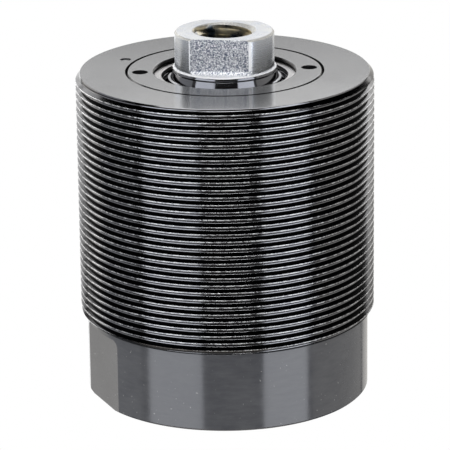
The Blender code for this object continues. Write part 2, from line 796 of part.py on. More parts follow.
def make_return_spring():
    """A compression coil round the stem, with closed end turns."""
    wire_r = SPRING_WIRE / 2
    coil_r = (stem_r + spring_bore_r) / 2
    low, high = spring_z + wire_r, spring_top - wire_r
    end_rise = SPRING_WIRE + GAP
    middle_rise = (high - low - 2 * end_rise) / (SPRING_TURNS - 2)

    def height(turn):
        if turn < 1:
            return low + turn * end_rise
        if turn > SPRING_TURNS - 1:
            return high - (SPRING_TURNS - turn) * end_rise
        return low + end_rise + (turn - 1) * middle_rise

    count = SPRING_TURNS * SPRING_POINTS + 1
    curve = bpy.data.curves.new("return_spring", "CURVE")
    curve.dimensions = "3D"
    curve.bevel_depth = wire_r
    curve.bevel_resolution = 1
    curve.use_fill_caps = True
    line = curve.splines.new("POLY")
    line.points.add(count - 1)
    for i, point in enumerate(line.points):
        turn = i / SPRING_POINTS
        point.co = (*polar(coil_r, turn * math.tau, height(turn)), 1)
    add_part("return_spring", curve, SPRING_STEEL)


def bake_turned_parts():
    """Keeps each part's finished mesh, smooth on round faces and sharp on edges."""
    depsgraph = bpy.context.evaluated_depsgraph_get()
    for part in parts.objects:
        if part.type != "MESH":
            continue
        mesh = bpy.data.meshes.new_from_object(part.evaluated_get(depsgraph))
        part.modifiers.clear()
        part.data = mesh
        mesh.shade_smooth()
        mesh.set_sharp_from_angle(angle=math.radians(30))


clear_scene()
parts = new_collection("support_cylinder")
cutters = new_collection("cutters")
make_body()
make_vent_fittings()
make_port_fittings()
make_gland_nut()
make_wiper()
make_collet()
make_clamp_piston()
make_disc_springs()
make_lower_guide()
make_plunger()
make_plunger_head()
make_stem()
make_spring_seat()
make_return_spring()
bake_turned_parts()
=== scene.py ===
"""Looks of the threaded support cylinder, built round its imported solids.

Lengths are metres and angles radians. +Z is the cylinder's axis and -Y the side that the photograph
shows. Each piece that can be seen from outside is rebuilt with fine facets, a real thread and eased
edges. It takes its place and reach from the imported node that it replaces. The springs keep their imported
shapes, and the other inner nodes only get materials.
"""
import json
import math

import bmesh
import bpy
from mathutils import Matrix, Vector


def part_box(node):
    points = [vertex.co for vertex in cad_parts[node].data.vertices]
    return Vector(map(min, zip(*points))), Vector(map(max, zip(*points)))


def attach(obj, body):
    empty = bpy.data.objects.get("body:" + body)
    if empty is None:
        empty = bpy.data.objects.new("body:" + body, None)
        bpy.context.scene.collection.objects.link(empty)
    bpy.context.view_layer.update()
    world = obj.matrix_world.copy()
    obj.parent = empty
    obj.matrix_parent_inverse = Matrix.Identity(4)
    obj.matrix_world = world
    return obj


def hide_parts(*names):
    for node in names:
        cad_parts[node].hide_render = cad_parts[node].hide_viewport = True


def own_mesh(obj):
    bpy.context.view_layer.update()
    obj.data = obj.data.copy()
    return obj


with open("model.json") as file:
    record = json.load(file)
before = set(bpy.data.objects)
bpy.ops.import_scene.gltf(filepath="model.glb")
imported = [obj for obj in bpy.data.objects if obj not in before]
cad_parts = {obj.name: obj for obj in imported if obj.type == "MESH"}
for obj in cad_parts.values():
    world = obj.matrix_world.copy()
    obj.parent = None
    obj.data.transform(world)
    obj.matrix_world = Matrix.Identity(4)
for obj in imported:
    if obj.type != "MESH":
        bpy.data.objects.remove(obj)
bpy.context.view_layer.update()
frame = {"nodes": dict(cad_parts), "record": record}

# Clearance between pieces that seat in or slide on each other, as in the solids
GAP = 0.0003

# Outside thread, M60 x 1.5
PITCH = 0.0015
CREST_DROP = 0.001094  # from the top face to the first crest, seen from the front
FACE_EDGE_R = 0.02905  # outer edge of the top face, where its chamfer starts
TOP_CHAMFER_H = 0.001
END_CHAMFER_R = 0.00045
END_CHAMFER_H = 0.00095
THREAD_DEPTH = 0.6134  # of the pitch, as the ISO profile has it
THREAD_ROOT_R = 0.1443  # of the pitch
THREAD_FOOT = 0.00025  # from the relief to the innermost face that is called thread
CREST_EASE = 0.00005
FLANK = math.radians(30)

# Base
BASE_H = 0.01625
BASE_STEP = 0.0013  # from the thread's crests in to the base
RELIEF_W = 0.0003
RELIEF_DEPTH = 0.0004
BASE_TOP_CHAMFER = 0.0001
BASE_BOTTOM_CHAMFER = 0.0004
FLAT_DEPTH = 0.00095
FLAT_TURN = math.radians(24.5)
FLAT_TOP_LAND = 0.00085  # round band that is left above a flat
FLAT_CORNER_R = 0.0016

# Bores inside the body
PORT_D = 0.0080
PORT_DEPTH = 0.0060
STEM_BORE_R = 0.0053
FLOOR_Z = 0.0120
CHAMBER_R = 0.0125
GUIDE_SEAT_Z = 0.0247
SHOULDER = 0.00244  # from the gland's bore in to the clamp's cylinder
FACE_SEAL_GROOVE_W = 0.0018
FACE_SEAL_GROOVE_DEPTH = 0.00165

# Vent
GALLERY_D = 0.0022
BREATHER_D = 0.0052
BREATHER_DEPTH = 0.0030

# Gland nut and what it holds
POCKET_DEPTH = 0.0048
POCKET_R = 0.01426
SNAP_GROOVE_R = 0.01506
SEAL_SECTION = 0.0019
SPANNER_HOLE_D = 0.0032
SPANNER_HOLE_DEPTH = 0.0030
SPANNER_PCD = 0.0340
SPANNER_TURN = math.radians(3.7)
GLAND_EDGE = 0.0002
GLAND_CHAMFER = 0.0003
WIPER_WALL = 0.0011
WIPER_DROP = 0.0013  # from the top face to the wiper's shoulder
WIPER_TIP = 0.0001
WIPER_LEAN = math.radians(20)
RING_SHOWN = 0.00156  # width of the snap ring inside the pocket's wall
SNAP_RING_BITE = 0.0005
SNAP_RING_EASE = 0.00015
SPLIT = 0.0022
SPLIT_TURN = math.radians(95)

# Plunger and its head
SOCKET_R = 0.0080
SPRING_BORE_R = 0.0063
PLUNGER_WEB = 0.0067  # between the head's socket and the spring's bore
STOP_RING_BITE = 0.0011
SEAT_GROOVE_R = 0.0068
HEAD_RISE = 0.0004
HEAD_FLATS = 0.016
HEAD_FLATS_TURN = math.radians(-7.2)
HEAD_EDGE = 0.0004
HEAD_FILLET = 0.0008
HEAD_CORNERS = ((math.radians(-18), 0.00004), (math.radians(27), 0.0001))  # worn corners: lean, depth
FLAT_COS = 0.98  # a face that leans less from the flats' normal is a flat
CORNER_COS = (0.86, 0.97)  # a worn corner leans between these
CHAMFER_COS = (0.3, 0.99)  # the top edge's chamfer leans between these from the axis
TUBE_TOP_EDGE = 0.0002
TUBE_FOOT_EDGE = 0.0004
RIM_H = 0.0005
RIM_OVERHANG = 0.0004
TAP_PITCH = 0.00175
TAP_MINOR_R = 0.0051
TAP_MAJOR_R = 0.0060
TAP_MOUTH_R = 0.0064
TAP_DEPTH = 0.0130
TAP_CREST_RISE = 0.0001  # of the lowest crest on the +X side, above the thread's lower end
DRILL_POINT = math.radians(31)

# Facets and edges
ROUND = 192
SMALL_ROUND = 128
DISC_ROUND = 64
HOLE_ROUND = 48
SECTION_ROUND = 20
FLAT_CORNER_STEPS = 10
FILLET_STEPS = 8
EASE = 0.00006  # radius on turned edges
EASE_STEPS = 3
EASE_SHARE = 0.4  # of a short side that its easing may take
SHARP = math.radians(32)  # edges that turn more than this stay sharp
SHARP_SECTION = math.radians(60)  # the same for a coarse round section
CUT = 0.001  # how far a cutter runs past the surface it opens

# How near counts as touching, by what is compared
NEAR = 0.0003
LEVEL = 1e-7
MERGE = 1e-8
ON_AXIS = 1e-9
ALONG_COS = 0.9

# Stage
STAGE_R = 3.0
FLOOR_DROP = 0.0001  # keeps the floor clear of the base face
STUDIO_R = 0.9  # from what a soft box is aimed at to the box
CARD_R = 0.18  # the same for the near cards behind, which the top face mirrors
AIM_Z = 0.04
CARD_AIM_RISE = 0.011  # above the top face

# Camera, fitted to the photograph's thread crests, silhouettes and base
CAMERA_BACK = 0.5998
CAMERA_RISE = 0.16211  # above the top face
CAMERA_PITCH = math.radians(17.992)
CAMERA_ROLL = math.radians(-0.724)
CAMERA_LENS = 247.65
CAMERA_SHIFT = (-0.00363, -0.00044)

body_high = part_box("threaded_body")[1]
thread_r = body_high.x
body_h = body_high.z
thread_end = BASE_H + RELIEF_W
base_r = thread_r - BASE_STEP
relief_r = base_r - RELIEF_DEPTH
flat_r = base_r - FLAT_DEPTH
gland_low, gland_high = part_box("gland_nut")
gland_r = gland_high.x
gland_z = gland_low.z
gland_bore_r = gland_r + GAP
cylinder_r = gland_bore_r - SHOULDER
guide_low, guide_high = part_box("lower_guide_bush")
cylinder_z = guide_high.z + GAP
tube_low, tube_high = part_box("plunger_tube")
plunger_r = tube_high.x
running_r = plunger_r + GAP
wiper_low, wiper_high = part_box("metal_wiper")
spacer_low, spacer_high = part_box("wiper_spacer")
snap_low, snap_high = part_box("wiper_snap_ring")
head_low, head_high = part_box("plunger_head")
rim_z = body_h + HEAD_RISE
rim_top = rim_z + RIM_H
collar_z = rim_top + RIM_OVERHANG / 2  # top of the slope above the rim, where the flats end
seal_low, seal_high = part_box("base_o_ring")
seal_section = seal_high.z - seal_low.z
breather_low, breather_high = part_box("breather_filter")
gallery_at = (breather_low + breather_high) / 2


def half_width(low, high):
    """Outer radius of a round node, by its box."""
    return (high.y - low.y) / 2


seal_r = half_width(seal_low, seal_high) - seal_section / 2  # the middle of its section


# Nodes and materials

ACROSS_THE_MARKS = 0.25  # of a turn: tool marks round the axis smear a highlight across themselves
RINGS_PER_RADIUS = 1.7  # how much faster the marks pass along the radius than along the axis


class Tree:
    """A node tree with short calls for adding and linking nodes."""

    def __init__(self, tree):
        self.tree = tree

    def add(self, kind, inputs=None, **settings):
        """Adds a node. Values given as sockets are linked, and others are set."""
        made = self.tree.nodes.new(kind)
        for name, value in settings.items():
            setattr(made, name, value)
        for name, value in (inputs or {}).items():
            if isinstance(value, bpy.types.NodeSocket):
                self.tree.links.new(value, made.inputs[name])
            else:
                made.inputs[name].default_value = value
        return made

    def maths(self, operation, first, second=0.0):
        """One arithmetic step."""
        return self.add("ShaderNodeMath", {0: first, 1: second}, operation=operation).outputs[0]

    def span(self, value, low, high, to_low=0.0, to_high=1.0):
        """Maps a range of a value to another, clamped."""
        return self.add(
            "ShaderNodeMapRange",
            {"Value": value, "From Min": low, "From Max": high, "To Min": to_low, "To Max": to_high},
            clamp=True,
        ).outputs["Result"]

    def noise(self, vector, scale, detail=2.0, roughness=0.5):
        """A noise texture's value."""
        return self.add(
            "ShaderNodeTexNoise",
            {"Vector": vector, "Scale": scale, "Detail": detail, "Roughness": roughness},
        ).outputs["Fac"]

    def blend(self, amount, first, second):
        """Mixes two colours, given as three numbers or as sockets."""
        made = self.add("ShaderNodeMix", {0: amount}, data_type="RGBA")
        for index, colour in ((6, first), (7, second)):
            if isinstance(colour, bpy.types.NodeSocket):
                self.tree.links.new(colour, made.inputs[index])
            else:
                made.inputs[index].default_value = (*colour, 1.0)
        return made.outputs[2]


class Metal(Tree):
    """A Principled material with the turned piece's own coordinates at hand."""

    def __init__(self, name, metallic, ior=1.5, anisotropic=0.0):
        self.material = bpy.data.materials.new(name)
        self.material.use_nodes = True
        super().__init__(self.material.node_tree)
        self.shader = self.tree.nodes["Principled BSDF"]
        self.shader.inputs["Metallic"].default_value = metallic
        self.shader.inputs["IOR"].default_value = ior
        self.shader.inputs["Anisotropic"].default_value = anisotropic
        if anisotropic:
            self.shader.inputs["Anisotropic Rotation"].default_value = ACROSS_THE_MARKS
            tangent = self.add("ShaderNodeTangent", direction_type="RADIAL", axis="Z")
            self.tree.links.new(tangent.outputs[0], self.shader.inputs["Tangent"])
        self.place = self.add("ShaderNodeTexCoord").outputs["Object"]
        parts = self.add("ShaderNodeSeparateXYZ", {0: self.place})
        self.x, self.y, self.z = parts.outputs
        flat = self.add("ShaderNodeCombineXYZ", {"X": self.x, "Y": self.y}).outputs[0]
        length = self.add("ShaderNodeVectorMath", {0: flat}, operation="LENGTH")
        self.radius = length.outputs["Value"]

    def turned_marks(self, drift=0.04):
        """Coordinates in which noise runs round the axis, as tool marks do."""
        x = self.maths("MULTIPLY", self.x, drift)
        y = self.maths("MULTIPLY", self.y, drift)
        level = self.maths("ADD", self.z, self.maths("MULTIPLY", self.radius, RINGS_PER_RADIUS))
        return self.add("ShaderNodeCombineXYZ", {"X": x, "Y": y, "Z": level}).outputs[0]

    def bump(self, height, distance):
        """The normal of a surface with a height on it."""
        inputs = {"Height": height, "Distance": distance, "Strength": 1.0}
        return self.add("ShaderNodeBump", inputs).outputs["Normal"]

    def wire(self, **sockets):
        """Links sockets to the shader's inputs by name, with underscores for spaces."""
        for name, socket in sockets.items():
            self.tree.links.new(socket, self.shader.inputs[name.replace("_", " ")])
        return self.material


def blackened_steel():
    """Black oxide on a turned face or cylinder: satin, with faint rings, dull streaks and lint."""
    m = Metal("blackened_steel", metallic=0.0, ior=1.8, anisotropic=0.6)
    marks = m.noise(m.turned_marks(), 5200, detail=3)
    streaks = m.noise(m.turned_marks(0.25), 1100, detail=4, roughness=0.65)
    patches = m.noise(m.place, 130, detail=4)
    lint = m.span(m.noise(m.place, 2300, detail=0), 0.81, 0.87)
    dull = m.maths("ADD", m.maths("MULTIPLY", streaks, 0.5), m.maths("MULTIPLY", patches, 0.5))
    steel = m.blend(m.span(dull, 0.35, 0.65), (0.036, 0.037, 0.042), (0.060, 0.061, 0.065))
    colour = m.blend(m.maths("MULTIPLY", lint, 0.4), steel, (0.42, 0.42, 0.40))
    roughness = m.span(dull, 0.35, 0.65, 0.14, 0.22)
    roughness = m.maths("ADD", roughness, m.span(marks, 0.3, 0.7, -0.02, 0.02))
    return m.wire(Base_Color=colour, Roughness=roughness, Normal=m.bump(marks, 0.0000016))


def blackened_thread():
    """Black oxide on the thread: glossy flanks, and crests that handling has rubbed bright in spots."""
    m = Metal("blackened_thread", metallic=1.0)
    marks = m.noise(m.turned_marks(0.25), 2600, detail=3)
    # Crests, roots and the end chamfer are told from the dark flanks by their distance from the axis. Roots
    # take the lighter tone as a painted highlight line.
    crest = m.span(m.radius, thread_r - 0.00012, thread_r - 0.00004)
    root = m.span(m.radius, thread_r - 0.00085, thread_r - 0.00091)
    slope = END_CHAMFER_R / END_CHAMFER_H
    chamfer = m.maths("ADD", m.maths("MULTIPLY", m.z, slope), thread_r - END_CHAMFER_R)
    chamfer = m.maths("SUBTRACT", chamfer, thread_end * slope)
    turned = m.span(m.maths("SUBTRACT", m.radius, chamfer), -0.00006, -0.00002)
    rubbed = m.span(m.noise(m.place, 800, detail=4, roughness=0.7), 0.44, 0.58)
    worn = m.maths("MULTIPLY", crest, rubbed)
    # Roots get the lighter 0.30 tone: a painted highlight along each root
    plain = m.blend(root, (0.026, 0.026, 0.028), (0.30, 0.30, 0.31))
    plain = m.blend(m.maths("MAXIMUM", crest, turned), plain, (0.30, 0.30, 0.31))
    colour = m.blend(worn, plain, (0.74, 0.74, 0.74))
    roughness = m.maths("ADD", m.span(marks, 0.3, 0.7, 0.12, 0.17), m.maths("MULTIPLY", worn, 0.27))
    return m.wire(Base_Color=colour, Roughness=roughness, Normal=m.bump(marks, 0.0000015))


def zinc_plate():
    """Bright zinc with a faint blue and straw tint."""
    m = Metal("zinc_plate", metallic=1.0, anisotropic=0.4)
    marks = m.noise(m.turned_marks(), 6500, detail=3)
    tint = m.noise(m.place, 240, detail=3)
    colour = m.blend(tint, (0.60, 0.65, 0.76), (0.80, 0.80, 0.76))
    roughness = m.span(marks, 0.3, 0.7, 0.24, 0.32)
    return m.wire(Base_Color=colour, Roughness=roughness, Normal=m.bump(marks, 0.0000007))


def faced_zinc():
    """Zinc over the head's faced top, a little duller than its sides."""
    m = Metal("faced_zinc", metallic=1.0, anisotropic=0.3)
    marks = m.noise(m.turned_marks(), 5200, detail=3)
    tint = m.noise(m.place, 500, detail=4, roughness=0.6)
    colour = m.blend(m.span(tint, 0.3, 0.7), (0.30, 0.32, 0.36), (0.38, 0.38, 0.37))
    roughness = m.span(marks, 0.3, 0.7, 0.26, 0.34)
    return m.wire(Base_Color=colour, Roughness=roughness, Normal=m.bump(marks, 0.000004))


def zinc_as_forged():
    """Bright zinc over the rough skin of the head's flats."""
    m = Metal("zinc_as_forged", metallic=1.0)
    grain = m.noise(m.place, 3300, detail=4, roughness=0.75)
    pits = m.noise(m.place, 6200, detail=3)
    colour = m.blend(m.span(grain, 0.42, 0.60), (0.09, 0.11, 0.17), (1.0, 1.0, 1.0))
    roughness = m.span(pits, 0.35, 0.65, 0.28, 0.42)
    return m.wire(Base_Color=colour, Roughness=roughness, Normal=m.bump(grain, 0.00016))


def matt_zinc():
    """Zinc over the blasted collar, coarser on the fillets above it."""
    m = Metal("matt_zinc", metallic=0.5)
    grain = m.noise(m.place, 3600, detail=4, roughness=0.7)
    fillet_z = collar_z + HEAD_FILLET
    above_collar = m.span(m.z, collar_z - RIM_OVERHANG / 4, collar_z + RIM_OVERHANG / 2)
    below_flat = m.span(m.z, fillet_z + EASE, fillet_z)
    fillet = m.maths("MULTIPLY", above_collar, below_flat)
    pits = m.maths("MULTIPLY", fillet, m.span(grain, 0.53, 0.43))
    plain = m.blend(grain, (0.90, 0.91, 0.94), (0.98, 0.98, 0.97))
    colour = m.blend(pits, plain, (0.16, 0.19, 0.27))
    roughness = m.span(grain, 0.3, 0.7, 0.62, 0.78)
    return m.wire(Base_Color=colour, Roughness=roughness, Normal=m.bump(grain, 0.00003))


def chamfer_zinc():
    """Dull zinc on the head's chamfers, round its top edge and its tapped hole."""
    m = Metal("chamfer_zinc", metallic=0.5)
    grain = m.noise(m.place, 2600, detail=3)
    colour = m.blend(m.span(grain, 0.3, 0.7), (0.48, 0.48, 0.47), (0.74, 0.72, 0.67))
    roughness = m.span(grain, 0.3, 0.7, 0.5, 0.65)
    return m.wire(Base_Color=colour, Roughness=roughness, Normal=m.bump(grain, 0.00001))


def tapped_zinc():
    """Zinc in the tapped hole, stained blue and straw."""
    m = Metal("tapped_zinc", metallic=1.0)
    stain = m.noise(m.place, 330, detail=3)
    colour = m.blend(m.span(stain, 0.36, 0.64), (0.10, 0.14, 0.20), (0.72, 0.64, 0.46))
    return m.wire(Base_Color=colour, Roughness=m.span(stain, 0.3, 0.7, 0.22, 0.36))


def oiled_black_painted_shade():
    """Black oxide with oil in it, in the spanner holes and along the joint round the gland. Its near-black
    colour is painted shade in these recesses, and its low roughness stands for the oil.
    """
    m = Metal("oiled_black_painted_shade", metallic=0.0, ior=1.3)
    grain = m.noise(m.place, 2400, detail=3)
    # Far darker than the black oxide outside: painted shade in the holes and in the gap between gland and
    # body
    colour = m.blend(grain, (0.005, 0.005, 0.006), (0.014, 0.014, 0.014))
    return m.wire(Base_Color=colour, Roughness=m.span(grain, 0.3, 0.7, 0.12, 0.2))


def ground_steel():
    """Ground and polished steel."""
    m = Metal("ground_steel", metallic=1.0, anisotropic=0.3)
    marks = m.noise(m.turned_marks(0.02), 9000, detail=2)
    tint = m.noise(m.place, 300, detail=2)
    colour = m.blend(tint, (0.56, 0.57, 0.60), (0.66, 0.66, 0.67))
    return m.wire(Base_Color=colour, Roughness=m.span(marks, 0.3, 0.7, 0.07, 0.11))


def burnished_steel():
    """Darker polished steel of the wiper and the rings round it."""
    m = Metal("burnished_steel", metallic=1.0)
    marks = m.noise(m.turned_marks(0.02), 7000, detail=2)
    tint = m.noise(m.place, 300, detail=2)
    colour = m.blend(tint, (0.19, 0.195, 0.21), (0.24, 0.24, 0.25))
    return m.wire(Base_Color=colour, Roughness=m.span(marks, 0.3, 0.7, 0.06, 0.10))


def spring_steel():
    """Spring steel with turned marks."""
    m = Metal("spring_steel", metallic=1.0)
    marks = m.noise(m.turned_marks(), 3600, detail=3)
    colour = m.blend(m.span(marks, 0.4, 0.6), (0.20, 0.20, 0.21), (0.38, 0.37, 0.36))
    return m.wire(Base_Color=colour, Roughness=m.span(marks, 0.3, 0.7, 0.26, 0.40))


def turned_bronze():
    """Turned bearing bronze."""
    m = Metal("turned_bronze", metallic=1.0, anisotropic=0.3)
    marks = m.noise(m.turned_marks(), 4200, detail=2)
    colour = m.blend(marks, (0.50, 0.32, 0.14), (0.62, 0.42, 0.20))
    roughness = m.span(marks, 0.3, 0.7, 0.28, 0.38)
    return m.wire(Base_Color=colour, Roughness=roughness, Normal=m.bump(marks, 0.000002))


def sintered_bronze():
    """Grains of bronze pressed into a porous disc."""
    m = Metal("sintered_bronze", metallic=1.0)
    cells = m.add("ShaderNodeTexVoronoi", {"Vector": m.place, "Scale": 3200.0})
    depth = cells.outputs["Distance"]
    # Darker towards the gaps between grains, where the bump dips: painted shade in the pores
    colour = m.blend(m.span(depth, 0.1, 0.7), (0.55, 0.38, 0.20), (0.16, 0.10, 0.05))
    roughness = m.span(depth, 0.0, 0.8, 0.45, 0.75)
    normal = m.bump(m.maths("SUBTRACT", 1.0, depth), 0.00008)
    return m.wire(Base_Color=colour, Roughness=roughness, Normal=normal)


def seal_rubber():
    """Moulded nitrile rubber."""
    m = Metal("seal_rubber", metallic=0.0)
    grain = m.noise(m.place, 3800, detail=3)
    colour = m.blend(grain, (0.010, 0.010, 0.011), (0.026, 0.026, 0.027))
    roughness = m.span(grain, 0.3, 0.7, 0.45, 0.6)
    return m.wire(Base_Color=colour, Roughness=roughness, Normal=m.bump(grain, 0.000004))


BLACK = blackened_steel()
THREAD = blackened_thread()
ZINC = zinc_plate()
FACED_ZINC = faced_zinc()
FORGED_ZINC = zinc_as_forged()
MATT_ZINC = matt_zinc()
CHAMFER_ZINC = chamfer_zinc()
TAPPED_ZINC = tapped_zinc()
OILED_PAINTED_SHADE = oiled_black_painted_shade()
GROUND = ground_steel()
BURNISHED = burnished_steel()
SPRING = spring_steel()
BRONZE = turned_bronze()
SINTERED = sintered_bronze()
RUBBER = seal_rubber()


# Shapes


def polar(radius, turn, z):
    """A point by its radius and turn about the Z axis."""
    return Vector((radius * math.cos(turn), radius * math.sin(turn), z))


def eased(profile, radius=EASE, closed=True):
    """Rounds each corner of a profile of (radius, z) points."""
    points = [Vector(point) for point in profile]
    count = len(points)
    made = []
    for i, corner in enumerate(points):
        if not closed and i in (0, count - 1):
            made.append(corner)
            continue
        before, after = points[i - 1] - corner, points[(i + 1) % count] - corner
        reach = min(radius, before.length * EASE_SHARE, after.length * EASE_SHARE)
        start, end = corner + before.normalized() * reach, corner + after.normalized() * reach
        for step in range(EASE_STEPS + 1):
            t = step / EASE_STEPS
            made.append(start * (1 - t) ** 2 + corner * 2 * t * (1 - t) + end * t**2)
    return [(point.x, point.y) for point in made]


def sweep(shape, profile, columns, closed):
    """Turns a profile about the axis. Returns the first and last rings' vertices."""
    rings = []
    turns = [math.tau * j / columns for j in range(columns)]
    for radius, z in profile:
        if radius < ON_AXIS:
            rings.append([shape.verts.new((0, 0, z))] * columns)
        else:
            rings.append([shape.verts.new(polar(radius, turn, z)) for turn in turns])
    pairs = list(zip(rings, rings[1:]))
    if closed:
        pairs.append((rings[-1], rings[0]))
    for low, high in pairs:
        for j in range(columns):
            k = (j + 1) % columns
            corners = list(dict.fromkeys((low[j], low[k], high[k], high[j])))
            if len(corners) > 2:
                shape.faces.new(corners)
    return rings[0], rings[-1]


def close_level(shape, z):
    """Fills the flat ring or disc between the open edges at a height."""
    open_edges = [
        edge for edge in shape.edges
        if edge.is_boundary and all(abs(vert.co.z - z) < LEVEL for vert in edge.verts)
    ]
    bmesh.ops.triangle_fill(shape, edges=open_edges, use_beauty=True, normal=(0, 0, 1))


def helix(shape, outline, pitch, first_crest, levels, reach, columns):
    """A thread's surface between two levels.

    outline lists (height, radius) over one pitch, from one groove to the next, with the crest at
    height 0. first_crest is the height of a crest at turn 0, and reach(radius, z) trims the radius.
    """
    low, high = levels
    rows = len(outline)
    first = math.floor((low - first_crest) / pitch) - 2
    last = math.ceil((high - first_crest) / pitch) + 2
    grid = []
    for turn in range(first, last):
        for offset, radius in outline:
            row = []
            for j in range(columns):
                z = first_crest + pitch * (turn + j / columns) + offset
                row.append(shape.verts.new(polar(reach(radius, z), math.tau * j / columns, z)))
            grid.append(row)
    for i in range(len(grid) - rows - 1):
        for j in range(columns):
            if j + 1 < columns:
                right, upper = grid[i][j + 1], grid[i + 1][j + 1]
            else:
                right, upper = grid[i + rows][0], grid[i + rows + 1][0]
            shape.faces.new((grid[i][j], right, upper, grid[i + 1][j]))
    for z, side in ((high, 1), (low, -1)):
        parts = shape.verts[:] + shape.edges[:] + shape.faces[:]
        bmesh.ops.bisect_plane(
            shape, geom=parts, dist=ON_AXIS, plane_co=(0, 0, z), plane_no=(0, 0, side), clear_outer=True,
        )


def outside_outline():
    """One pitch of the ISO outside thread: flat crest with eased edges, flanks and a round root."""
    half_crest = PITCH / 16
    depth = THREAD_DEPTH * PITCH
    root_r = THREAD_ROOT_R * PITCH
    cut = CREST_EASE * math.tan(FLANK)
    half = [
        (half_crest - cut, 0),
        (half_crest - cut * 0.15, cut * 0.22),
        (half_crest + cut * math.sin(FLANK), cut * math.cos(FLANK)),
    ]
    crest = [(-z, thread_r - d) for z, d in reversed(half)] + [(z, thread_r - d) for z, d in half]
    root = []
    for degrees in (-60, -30, 0, 30, 60):
        angle = math.radians(degrees)
        height = PITCH / 2 + root_r * math.sin(angle)
        root.append((height, thread_r - (depth - root_r + root_r * math.cos(angle))))
    return crest + root


def inside_outline():
    """One pitch of the ISO inside thread, from the axis outwards: flat crest, flanks, flat root."""
    crest, root = TAP_PITCH / 8, TAP_PITCH / 16
    return [
        (-crest, TAP_MINOR_R), (crest, TAP_MINOR_R),
        (TAP_PITCH / 2 - root, TAP_MAJOR_R), (TAP_PITCH / 2 + root, TAP_MAJOR_R),
    ]


def rod(shape, radius, start, end):
    """A closed cylinder between two points."""
    start, end = Vector(start), Vector(end)
    axis = end - start
    place = Matrix.Translation((start + end) / 2) @ axis.to_track_quat("Z", "Y").to_matrix().to_4x4()
    bmesh.ops.create_cone(
        shape, cap_ends=True, segments=HOLE_ROUND,
        radius1=radius, radius2=radius, depth=axis.length, matrix=place,
    )


def block(shape, low, high, turn):
    """A box between two corners, turned about the Z axis. Returns its edges."""
    low, high = Vector(low), Vector(high)
    place = Matrix.Rotation(turn, 4, "Z") @ Matrix.Translation((low + high) / 2)
    made = bmesh.ops.create_cube(shape, size=1, matrix=place @ Matrix.Diagonal((*(high - low), 1)))
    return list({edge for vert in made["verts"] for edge in vert.link_edges})


def link(name, mesh):
    """An object for a mesh, in the scene."""
    made = bpy.data.objects.new(name, mesh)
    bpy.context.scene.collection.objects.link(made)
    return made


def mesh_of(name, build):
    """Runs build on an empty bmesh and keeps the result."""
    shape = bmesh.new()
    build(shape)
    bmesh.ops.recalc_face_normals(shape, faces=shape.faces)
    mesh = bpy.data.meshes.new(name)
    shape.to_mesh(mesh)
    shape.free()
    return mesh


def carve(piece, *builds):
    """Takes the shapes that the builds make away from a piece, one after the other."""
    for build in builds:
        cutter = link("cutter", mesh_of("cutter", build))
        modifier = piece.modifiers.new("carve", "BOOLEAN")
        modifier.operation = "DIFFERENCE"
        modifier.solver = "EXACT"
        modifier.object = cutter
        depsgraph = bpy.context.evaluated_depsgraph_get()
        carved = bpy.data.meshes.new_from_object(piece.evaluated_get(depsgraph))
        piece.modifiers.clear()
        piece.data = carved
        bpy.data.objects.remove(cutter)


def dress(piece, material, others=(), sharp=SHARP):
    """Gives a piece its materials, and smooth shading with sharp edges.

    others lists (material, test), and a face that passes a test takes that material.
    """
    mesh = piece.data
    mesh.materials.clear()
    for made in (material, *(entry[0] for entry in others)):
        mesh.materials.append(made)
    for face in mesh.polygons:
        face.material_index = 0
        for index, (_, test) in enumerate(others, 1):
            if test(face):
                face.material_index = index
    mesh.shade_smooth()
    mesh.set_sharp_from_angle(angle=sharp)
    weighted = piece.modifiers.new("weighted_normals", "WEIGHTED_NORMAL")
    weighted.keep_sharp = True
    return piece


def stand_for(piece, node, body):
    """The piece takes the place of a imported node."""
    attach(piece, body)
    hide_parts(node)
    return piece


def distance(face):
    """From the axis to the middle of a face."""
    return math.hypot(face.center.x, face.center.y)


def turned(name, profile, columns=SMALL_ROUND, closed=True, ease=EASE):
    """A turned piece from its profile."""
    points = eased(profile, ease, closed=closed)
    return link(name, mesh_of(name, lambda shape: sweep(shape, points, columns, closed)))


